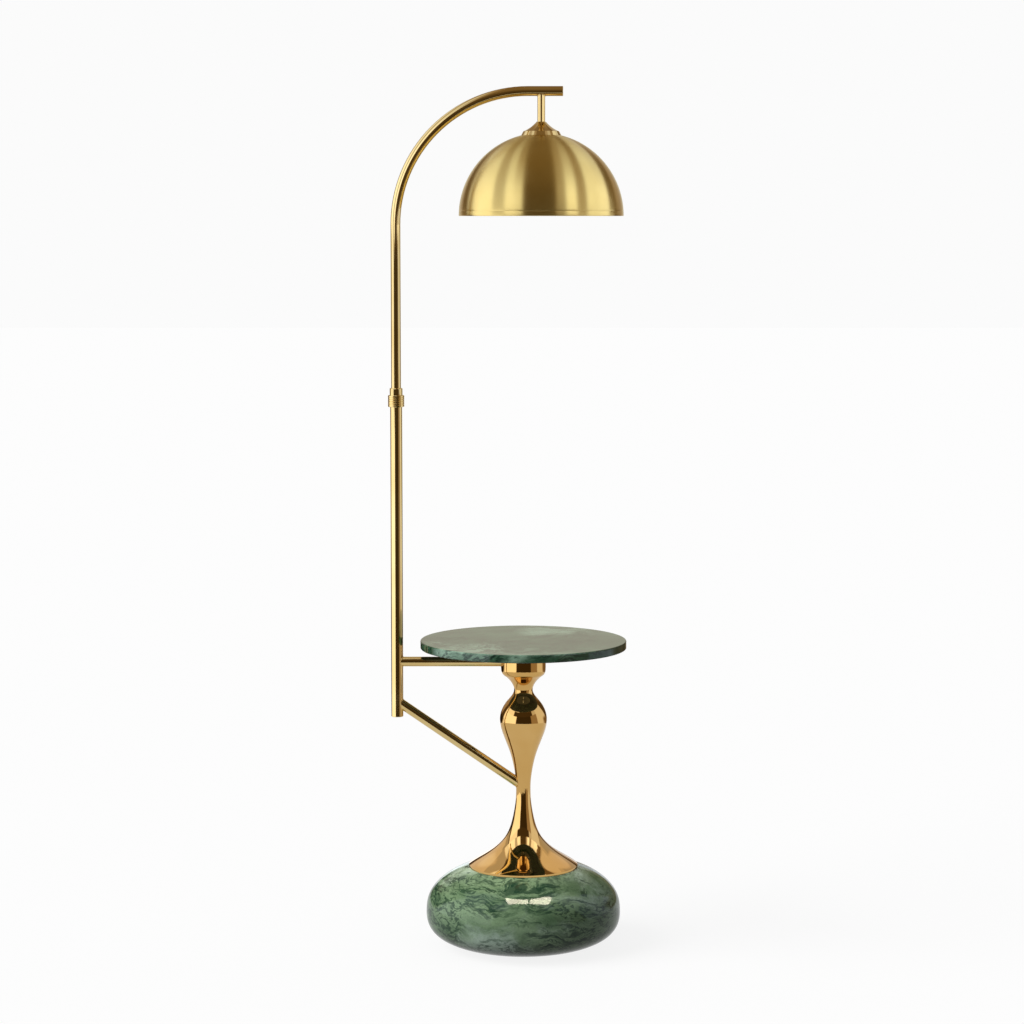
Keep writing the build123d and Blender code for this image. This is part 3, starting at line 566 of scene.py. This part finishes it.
FINISHES = {
    "polished_brass": tube_brass,
    "satin_brass": shade_brass,
    "raw_brass": bare_brass,
    "green_marble": base_marble,
    "zinc_steel": zinc_plate,
    "black_rubber": black_rubber,
    "black_plastic": black_plastic,
    "white_nylon": white_nylon,
    "black_lead": lead_sheath,
    "bulb_metal": bulb_metal,
    "opal_glass": opal_glass,
}
OWN_FINISH = {
    "trumpet_foot": column_gold,
    "baluster": column_gold,
    "marble_top": top_marble,
    "table_plate": dark_zinc,
}

for subpart in frame["record"]["subparts"]:
    finish = OWN_FINISH.get(subpart["node"], FINISHES[subpart["material_slot"]])
    for slot in frame["nodes"][subpart["node"]].material_slots:
        slot.material = finish

# Angles between faces up to which a piece is shaded smooth, and sizes used while it is drawn
SMOOTH_ANGLE = 35
TURNED_SMOOTH_ANGLE = 25
START_SIZE = 0.001
MERGE_DISTANCE = 0.000002


# Modelling helpers
def corners(node):
    """The low and the high corner of a node's box."""
    return [Vector(corner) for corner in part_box(node)]


def pick(piece):
    """Selects one piece and nothing else."""
    bpy.ops.object.select_all(action="DESELECT")
    piece.select_set(True)
    bpy.context.view_layer.objects.active = piece


def edit(piece):
    """Opens one piece in edit mode with all of it selected."""
    pick(piece)
    bpy.ops.object.mode_set(mode="EDIT")
    bpy.ops.mesh.select_all(action="SELECT")


def draw_outline(name, axis_x, points):
    """A new mesh: one point drawn out along an outline of radius and height about an upright axis."""
    places = [Vector((axis_x + radius, 0, height)) for radius, height in points]
    bpy.ops.object.select_all(action="DESELECT")
    bpy.ops.mesh.primitive_plane_add(size=START_SIZE, location=places[0])
    piece = bpy.context.object
    piece.name = name
    edit(piece)
    bpy.ops.mesh.merge(type="CENTER")
    for last, place in zip(places, places[1:]):
        bpy.ops.mesh.extrude_region_move(TRANSFORM_OT_translate={"value": place - last})
    bpy.ops.object.mode_set(mode="OBJECT")
    return piece


def turn_outline(piece, axis_x, steps):
    """Spins the drawn outline once round its upright axis and closes it."""
    edit(piece)
    bpy.ops.mesh.spin(steps=steps, angle=2 * pi, center=(axis_x, 0, 0), axis=(0, 0, 1))
    bpy.ops.mesh.select_all(action="SELECT")
    bpy.ops.mesh.remove_doubles(threshold=MERGE_DISTANCE)
    bpy.ops.mesh.normals_make_consistent(inside=False)
    bpy.ops.object.mode_set(mode="OBJECT")


def settle(piece, body, finish, smooth_angle):
    """Puts the piece's place into its mesh, smooths it, and gives it its body and finish."""
    pick(piece)
    bpy.ops.object.transform_apply(location=True, rotation=True, scale=True)
    bpy.ops.object.shade_smooth_by_angle(angle=radians(smooth_angle))
    piece.data.name = piece.name
    piece.data.materials.clear()
    piece.data.materials.append(finish)
    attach(piece, body)


def arc_point(centre, radius, angle):
    """A point in radius and height; its angle is in degrees from the level outward direction."""
    return centre[0] + radius * cos(radians(angle)), centre[1] + radius * sin(radians(angle))


def arc_points(centre, radius, start, end, count):
    """Points at even steps along an arc."""
    return [arc_point(centre, radius, start + (end - start) * step / (count - 1)) for step in range(count)]


def angle_at(height, radius):
    """The angle at which an arc of a radius reaches a height."""
    return degrees(asin(height / radius))


# Shade: thin spun half sphere with a clamped crown, a fine bead line and a hem rolled inwards
SHADE_WALL = 0.0010
SHADE_HOLE = 0.0053
SHADE_STEPS = 160
SHADE_OUTER_POINTS = 44
SHADE_INNER_POINTS = 40
HEM_ROUND = 0.0011
HEM_RISE = 0.0045
HEM_TURN = (-20, -180)
HEM_POINTS = 9
BEAD_LINE_HEIGHT = 0.0085
BEAD_LINE_DEPTH = 0.00025
BEAD_LINE_HALF_WIDTH = 0.0006
BELOW_LINE_POINTS = 4


def make_shade():
    low, high = corners("shade")
    axis_x = (low.x + high.x) / 2
    radius = (high.x - low.x) / 2
    inner = radius - SHADE_WALL
    rim = low.z
    crown = high.z - low.z
    centre = (0, rim)
    hem_centre = (radius - HEM_ROUND, rim + HEM_ROUND)
    line_top = angle_at(BEAD_LINE_HEIGHT + BEAD_LINE_HALF_WIDTH, radius)
    line_foot = angle_at(BEAD_LINE_HEIGHT - BEAD_LINE_HALF_WIDTH, radius)
    inner_crown = angle_at(crown - SHADE_WALL, inner)
    points = [(SHADE_HOLE, rim + crown)]
    points += arc_points(centre, radius, angle_at(crown, radius), line_top, SHADE_OUTER_POINTS)
    points += [arc_point(centre, radius - BEAD_LINE_DEPTH, (line_top + line_foot) / 2)]
    points += arc_points(centre, radius, line_foot, angle_at(HEM_ROUND, radius), BELOW_LINE_POINTS)
    points += arc_points(hem_centre, HEM_ROUND, *HEM_TURN, HEM_POINTS)
    points += arc_points(centre, inner, angle_at(HEM_RISE, inner), inner_crown, SHADE_INNER_POINTS)
    points += [(SHADE_HOLE, rim + crown - SHADE_WALL), points[0]]
    shade = draw_outline("spun_shade", axis_x, points)
    turn_outline(shade, axis_x, SHADE_STEPS)
    settle(shade, "mast", shade_brass, TURNED_SMOOTH_ANGLE)
    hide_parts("shade")


# Brazed beads where one tube's coped end meets another piece
BEAD_RADIUS = 0.0009
BEAD_POINTS = 64
BEAD_SECTION_STEPS = 3
BEAD_SMOOTH_ANGLE = 60
BEAD_START = 0.030
BRACE_BEAD_START = 0.060
BRACE_ABOVE_FOOT = 0.029
BRACE_ABOVE_WAIST = 0.002


def make_braze_bead(name, body, finish, tube_radius, start, towards, targets):
    """A ring round a tube, pushed along it onto what it meets and given a round section."""
    direction = Vector(towards).normalized()
    bpy.ops.object.select_all(action="DESELECT")
    bpy.ops.mesh.primitive_circle_add(
        vertices=BEAD_POINTS,
        radius=tube_radius,
        location=start,
        rotation=direction.to_track_quat("Z", "Y").to_euler(),
    )
    bead = bpy.context.object
    bead.name = name
    seat = bead.modifiers.new("seat", "SHRINKWRAP")
    seat.wrap_method = "PROJECT"
    seat.use_project_z = True
    seat.target = frame["nodes"][targets[0]]
    if len(targets) > 1:
        seat.auxiliary_target = frame["nodes"][targets[1]]
    bpy.ops.object.modifier_apply(modifier=seat.name)
    bpy.ops.object.convert(target="CURVE")
    bead.data.bevel_depth = BEAD_RADIUS
    bead.data.bevel_resolution = BEAD_SECTION_STEPS
    bpy.ops.object.convert(target="MESH")
    settle(bead, body, finish, BEAD_SMOOTH_ANGLE)


def make_arm_beads():
    arm_low, arm_high = corners("side_arm")
    radius = (arm_high.z - arm_low.z) / 2
    height = (arm_high.z + arm_low.z) / 2
    by_pole = (corners("outer_pole")[1].x + BEAD_START, 0, height)
    by_cup = (corners("baluster")[0].x - BEAD_START, 0, height)
    make_braze_bead("arm_pole_bead", "stand", tube_brass, radius, by_pole, (-1, 0, 0), ["outer_pole"])
    make_braze_bead("arm_cup_bead", "stand", column_gold, radius, by_cup, (1, 0, 0), ["baluster"])


def make_brace_beads():
    pole_low, pole_high = corners("outer_pole")
    brace_low, brace_high = corners("brace")
    radius = (brace_high.y - brace_low.y) / 2
    top = Vector(((pole_low.x + pole_high.x) / 2, 0, corners("pole_end_cap")[0].z + BRACE_ABOVE_FOOT))
    foot = Vector((0, 0, corners("trumpet_foot")[1].z + BRACE_ABOVE_WAIST))
    run = (foot - top).normalized()
    by_pole = top + BRACE_BEAD_START * run
    by_waist = foot - BRACE_BEAD_START * run
    column = ["baluster", "trumpet_foot"]
    make_braze_bead("brace_pole_bead", "stand", tube_brass, radius, by_pole, -run, ["outer_pole"])
    make_braze_bead("brace_column_bead", "stand", column_gold, radius, by_waist, run, column)


def make_stem_bead():
    low, high = corners("stem")
    radius = (high.x - low.x) / 2
    under_mast = ((low.x + high.x) / 2, 0, high.z - BEAD_START)
    make_braze_bead("stem_bead", "mast", tube_brass, radius, under_mast, (0, 0, 1), ["mast_tube"])


# Lock collar: two-step turned nut with grip lines, bored for the pole and coned over the collet
COLLAR_EASE = 0.0010
COLLAR_NECK = 0.0118
COLLAR_NECK_HEIGHT = 0.0130
COLLAR_NECK_ROUND = 0.0016
COLLAR_NECK_POINTS = 6
COLLAR_MOUTH = 0.0093
COLLAR_BORE_GAP = 0.00005
COLLAR_BORE_HEIGHT = 0.0180
COLLAR_CONE_HEIGHT = 0.0280
COLLAR_STEPS = 72
GRIP_LINES = 5
GRIP_LINE_PITCH = 0.0032
GRIP_LINE_DEPTH = 0.0005
GRIP_LINE_HALF_WIDTH = 0.0006


def make_collar():
    low, high = corners("lock_collar")
    pole_low, pole_high = corners("outer_pole")
    axis_x = (low.x + high.x) / 2
    radius = (high.x - low.x) / 2
    bore = (pole_high.x - pole_low.x) / 2 + COLLAR_BORE_GAP
    foot = low.z
    top = high.z
    step = top - COLLAR_NECK_HEIGHT
    points = [(bore, foot), (radius - COLLAR_EASE, foot), (radius, foot + COLLAR_EASE)]
    first_line = (foot + step - (GRIP_LINES - 1) * GRIP_LINE_PITCH) / 2
    for line in range(GRIP_LINES):
        height = first_line + line * GRIP_LINE_PITCH
        points += [
            (radius, height - GRIP_LINE_HALF_WIDTH),
            (radius - GRIP_LINE_DEPTH, height),
            (radius, height + GRIP_LINE_HALF_WIDTH),
        ]
    points += [(radius, step - COLLAR_EASE), (radius - COLLAR_EASE, step), (COLLAR_NECK, step)]
    neck_centre = (COLLAR_NECK - COLLAR_NECK_ROUND, top - COLLAR_NECK_ROUND)
    points += arc_points(neck_centre, COLLAR_NECK_ROUND, 0, 90, COLLAR_NECK_POINTS)
    points += [
        (COLLAR_MOUTH, top),
        (COLLAR_MOUTH, foot + COLLAR_CONE_HEIGHT),
        (bore, foot + COLLAR_BORE_HEIGHT),
        (bore, foot),
    ]
    collar = draw_outline("grip_collar", axis_x, points)
    turn_outline(collar, axis_x, COLLAR_STEPS)
    settle(collar, "lock_collar", tube_brass, TURNED_SMOOTH_ANGLE)
    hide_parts("lock_collar")


# Slack lead in the pole, drawn as a straight rod with rounded end edges
LEAD_SIDES = 16
LEAD_END_ROUND = 0.0005
LEAD_END_SEGMENTS = 2
LEAD_END_GAP = 0.0005
LEAD_END_FACING = 0.9


def make_pole_lead():
    low, high = corners("pole_lead")
    high.z -= LEAD_END_GAP
    length = high.z - low.z
    bpy.ops.object.select_all(action="DESELECT")
    bpy.ops.mesh.primitive_cylinder_add(
        vertices=LEAD_SIDES, radius=(high.x - low.x) / 2, depth=length, location=(low + high) / 2
    )
    lead = bpy.context.object
    lead.name = "slack_lead"
    edit(lead)
    bpy.ops.mesh.select_mode(type="FACE")
    bpy.ops.mesh.select_all(action="DESELECT")
    bpy.ops.object.mode_set(mode="OBJECT")
    for face in lead.data.polygons:
        face.select = abs(face.normal.z) > LEAD_END_FACING
    bpy.ops.object.mode_set(mode="EDIT")
    bpy.ops.mesh.bevel(offset=LEAD_END_ROUND, segments=LEAD_END_SEGMENTS)
    bpy.ops.object.mode_set(mode="OBJECT")
    settle(lead, "stand", lead_sheath, SMOOTH_ANGLE)
    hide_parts("pole_lead")
    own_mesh(lead)


make_shade()
make_arm_beads()
make_brace_beads()
make_stem_bead()
make_collar()
make_pole_lead()


# Studio
def seen_rays(tree, camera_level, mirrored_level):
    """One level where a ray comes straight from the camera, another from a mirror or through glass."""
    path = add_node(tree, "ShaderNodeLightPath")
    mirrored = calculate(tree, "MAXIMUM", path.outputs["Is Glossy Ray"], path.outputs["Is Transmission Ray"])
    straight = calculate(tree, "MULTIPLY", path.outputs["Is Camera Ray"], camera_level)
    return calculate(tree, "MULTIPLY_ADD", mirrored, mirrored_level, straight)


def new_glow(name):
    """A material that only gives white light; returns its tree and its emission node."""
    material = bpy.data.materials.new(name)
    material.use_nodes = True
    tree = material.node_tree
    tree.nodes.remove(tree.nodes["Principled BSDF"])
    glow = add_node(tree, "ShaderNodeEmission", {"Color": WHITE})
    wire(tree, glow.outputs["Emission"], tree.nodes["Material Output"].inputs["Surface"])
    return material, tree, glow


def band_levels(tree, turn, bands):
    """The tent's level round one ring, from the share of a full turn; the ramp's white is its top level."""
    node = add_node(tree, "ShaderNodeValToRGB")
    stops = node.color_ramp.elements
    wanted = []
    for start, end, level in bands:
        wanted += [(start + TENT_BAND_EDGE, level), (end - TENT_BAND_EDGE, level)]
    while len(stops) < len(wanted):
        stops.new(1.0)
    for stop, (angle, level) in zip(stops, wanted):
        grey = level / BAND_RAMP_TOP
        stop.position = angle / 360 + 0.5
        stop.color = (grey, grey, grey, 1)
    wire(tree, turn, node.inputs["Fac"])
    return calculate(tree, "MULTIPLY", node.outputs["Color"], BAND_RAMP_TOP)


def make_tent_finish(shade_place):
    """Bands laid out by the half angle between the front and a place on the tent, as a ball mirrors them."""
    material, tree, glow = new_glow("studio_tent")
    place = add_node(tree, "ShaderNodeTexCoord").outputs["Object"]
    outward = calculate_vector(tree, "SUBTRACT", place, shade_place)
    seen = calculate_vector(tree, "NORMALIZE", outward)
    x, y, z = split_vector(tree, calculate_vector(tree, "ADD", seen, (0, -1, 0)))

    # Share of a full turn, and rise above the level
    aside = calculate(tree, "ARCTAN2", x, calculate(tree, "MULTIPLY", y, -1.0))
    turn = calculate(tree, "MULTIPLY_ADD", aside, 1 / pi, 0.5)
    run_squared = calculate(tree, "MULTIPLY_ADD", x, x, calculate(tree, "MULTIPLY", y, y))
    rise = calculate(tree, "ARCTAN2", z, calculate(tree, "SQRT", run_squared))

    # Rings of bands, one above the other
    level = band_levels(tree, turn, TENT_LOW_BANDS)
    rings = [TENT_MAST_BANDS]
    rings += [[(start, end, levels[ring]) for start, end, *levels in TENT_BANDS] for ring in range(3)]
    for (low, high), bands in zip(TENT_RING_EDGES, rings):
        above = ramp(tree, rise, radians(low), radians(high))
        level = blend_value(tree, above, level, band_levels(tree, turn, bands))

    # Back wall and skirting
    behind = ramp(tree, split_vector(tree, seen)[1], *TENT_BACK_DEPTH)
    level = blend_value(tree, behind, level, TENT_BACK)
    foot = ramp(tree, split_vector(tree, place)[2], *TENT_FOOT_RISE, first=TENT_FOOT_SHADE, last=0.0)
    side = calculate(tree, "ABSOLUTE", calculate(tree, "SUBTRACT", turn, 0.5))
    side = ramp(tree, side, *(angle / 360 for angle in TENT_FOOT_SIDE))
    kept = calculate(tree, "SUBTRACT", 1.0, calculate(tree, "MULTIPLY", foot, side))
    level = calculate(tree, "MULTIPLY", level, kept)

    tint = blend_colour(tree, ramp(tree, level, *TINT_LEVELS), FLAG_TINT, LIGHT_TINT)
    wire(tree, blend_colour(tree, behind, tint, BACK_TINT), glow.inputs["Color"])
    wire(tree, level, glow.inputs["Strength"])
    return material


def build_tent():
    low, high = corners("shade")
    bpy.ops.object.select_all(action="DESELECT")
    bpy.ops.mesh.primitive_uv_sphere_add(segments=TENT_SEGMENTS, ring_count=TENT_RINGS, radius=1)
    tent = bpy.context.object
    tent.name = "studio_tent"
    edit(tent)
    bpy.ops.mesh.bisect(plane_co=(0, 0, 0), plane_no=(0, 0, 1), clear_inner=True)
    bpy.ops.mesh.select_all(action="SELECT")
    bpy.ops.transform.resize(value=(TENT_RADIUS, TENT_RADIUS, TENT_HEIGHT))
    bpy.ops.transform.translate(value=(TENT_CENTRE_X, 0, 0))
    bpy.ops.object.mode_set(mode="OBJECT")
    tent.data.materials.append(make_tent_finish(((low.x + high.x) / 2, 0, low.z)))
    tent.visible_camera = False
    tent.visible_diffuse = False
    tent.visible_transmission = False
    tent.visible_shadow = False


def hang_soft_box(place, towards, size, power, tint, lit):
    """A soft box facing one way, which shows in the pieces of one collection alone."""
    turn = (-towards).to_track_quat("Z", "Y").to_euler()
    bpy.ops.object.light_add(type="AREA", location=place, rotation=turn)
    box = bpy.context.object
    box.data.shape = "RECTANGLE"
    box.data.size, box.data.size_y = size
    box.data.energy = power
    box.data.color = tint
    box.visible_camera = False
    box.visible_diffuse = False
    box.light_linking.receiver_collection = lit
    return box


def light_base():
    lit = bpy.data.collections.new("base_light")
    lit.objects.link(frame["nodes"]["marble_base"])
    down = Vector((0, 0, -1))
    for side in (-1, 1):
        place = Vector(LOW_BOX_PLACE)
        place.x += side * (LOW_BOX_SIZE[0] + LOW_BOX_GAP) / 2
        hang_soft_box(place, down, LOW_BOX_SIZE, LOW_BOX_POWER, BASE_LIGHT_TINT, lit)
    under_table = Vector((*BASE_FILL_PLACE, corners("marble_top")[0].z - BASE_FILL_DROP))
    fill = hang_soft_box(under_table, down, BASE_FILL_SIZE, BASE_FILL_POWER, BASE_LIGHT_TINT, lit)
    fill.visible_diffuse = True
    fill.visible_glossy = False


def light_trumpet_rim():
    lit = bpy.data.collections.new("trumpet_rim_light")
    lit.objects.link(frame["nodes"]["trumpet_foot"])
    seat = Vector((0, 0, corners("trumpet_foot")[0].z))
    aside, behind, height = RIM_BOX_PLACE
    for side in (-1, 1):
        place = Vector((side * aside, behind, height))
        hang_soft_box(place, seat - place, RIM_BOX_SIZE, RIM_BOX_POWER, RIM_LIGHT_TINT, lit)


def make_floor_finish():
    """Pale floor: part of its white is its own, and the rest takes the lamp's shadow."""
    material, tree, glow = new_glow("floor")
    matt = add_node(tree, "ShaderNodeBsdfDiffuse", {"Color": (FLOOR_TONE, FLOOR_TONE, FLOOR_TONE, 1)})
    wire(tree, seen_rays(tree, FLOOR_GLOW, FLOOR_GLOW_MIRRORED), glow.inputs["Strength"])
    both = add_node(tree, "ShaderNodeAddShader")
    wire(tree, matt.outputs["BSDF"], both.inputs[0])
    wire(tree, glow.outputs["Emission"], both.inputs[1])
    wire(tree, both.outputs["Shader"], tree.nodes["Material Output"].inputs["Surface"])
    return material


def build_floor():
    bpy.ops.object.select_all(action="DESELECT")
    bpy.ops.mesh.primitive_plane_add(size=FLOOR_SIZE, location=(0, 0, 0))
    floor = bpy.context.object
    floor.name = "floor"
    floor.data.materials.append(make_floor_finish())


def light_studio():
    bpy.ops.object.light_add(type="SUN", rotation=Vector(SUN_FROM).to_track_quat("Z", "Y").to_euler())
    sun = bpy.context.object
    sun.data.energy = SUN_LEVEL
    sun.data.angle = radians(SUN_SPREAD)
    sun.visible_glossy = False

    world = bpy.data.worlds.new("studio")
    bpy.context.scene.world = world
    world.use_nodes = True
    tree = world.node_tree
    background = tree.nodes["Background"]
    seen = seen_rays(tree, WORLD_SEEN - WORLD_FILL, WORLD_SEEN - WORLD_FILL)
    wire(tree, calculate(tree, "ADD", seen, WORLD_FILL), background.inputs["Strength"])
    background.inputs["Color"].default_value = WHITE


def aim_camera():
    pitch = atan((PICTURE_WIDTH / 2 - HORIZON_ROW) / FOCAL_PIXELS)
    bpy.ops.object.camera_add(location=CAMERA_PLACE, rotation=(pi / 2 - pitch, 0, 0))
    camera = bpy.context.object
    camera.data.sensor_width = SENSOR_WIDTH
    camera.data.lens = FOCAL_PIXELS * SENSOR_WIDTH / PICTURE_WIDTH
    bpy.context.scene.camera = camera


build_tent()
light_base()
light_trumpet_rim()
build_floor()
light_studio()
aim_camera()
bpy.context.scene.view_settings.view_transform = "Standard"
